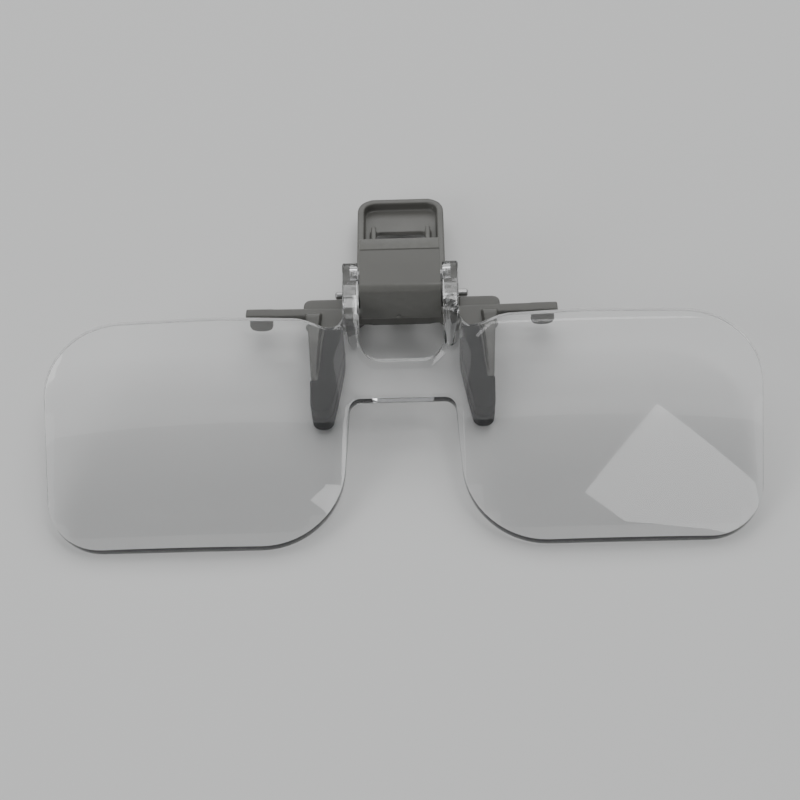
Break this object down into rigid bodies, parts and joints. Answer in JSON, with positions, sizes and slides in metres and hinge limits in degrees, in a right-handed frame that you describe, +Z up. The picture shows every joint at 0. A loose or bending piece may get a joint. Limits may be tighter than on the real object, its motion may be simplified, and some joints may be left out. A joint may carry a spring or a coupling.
{
  "type": "clip-on flip-up magnifier",
  "caption": "Clear twin-lens magnifier that flips up on a small grey spring clip with rubber-covered fingers, worn on spectacles.",
  "frame": {"origin": "centre of the object's footprint on the table, with the object lying on its back", "axes": "+X to the right across both lenses, +Y from the lens feet towards the thumb lever, +Z up from the table"},
  "size_m": [0.111, 0.0714, 0.0187],
  "materials": {
    "clear_acrylic": "clear, polished",
    "grey_plastic": "satin, warm light grey",
    "dark_rubber": "matt, near black",
    "satin_steel": "satin"
  },
  "bodies": {
    "front_clip": {"front_jaw": "grey_plastic", "hinge_block": "grey_plastic", "lens_pivot_pin": "satin_steel", "clip_axle": "satin_steel", "clip_spring": "satin_steel", "front_sleeve_left": "dark_rubber", "front_sleeve_right": "dark_rubber"},
    "lever": {"rear_lever": "grey_plastic", "rear_sleeve_left": "dark_rubber", "rear_sleeve_right": "dark_rubber"},
    "lens": {"twin_lens": "clear_acrylic"}
  },
  "joints": [
    {"name": "clip_squeeze", "type": "hinge", "parent": "front_clip", "child": "lever", "pos_m": [0, 0.01317, 0.0042], "axis": [1, 0, 0], "range_deg": [0, 20], "stiffness_Nm_per_rad": 0.15, "springref_deg": -20.05, "deforming": ["clip_spring"]},
    {"name": "lens_flip", "type": "hinge", "parent": "front_clip", "child": "lens", "pos_m": [0, 0.00769, 0.01419], "axis": [-1, 0, 0], "range_deg": [0, 105]}
  ]
}
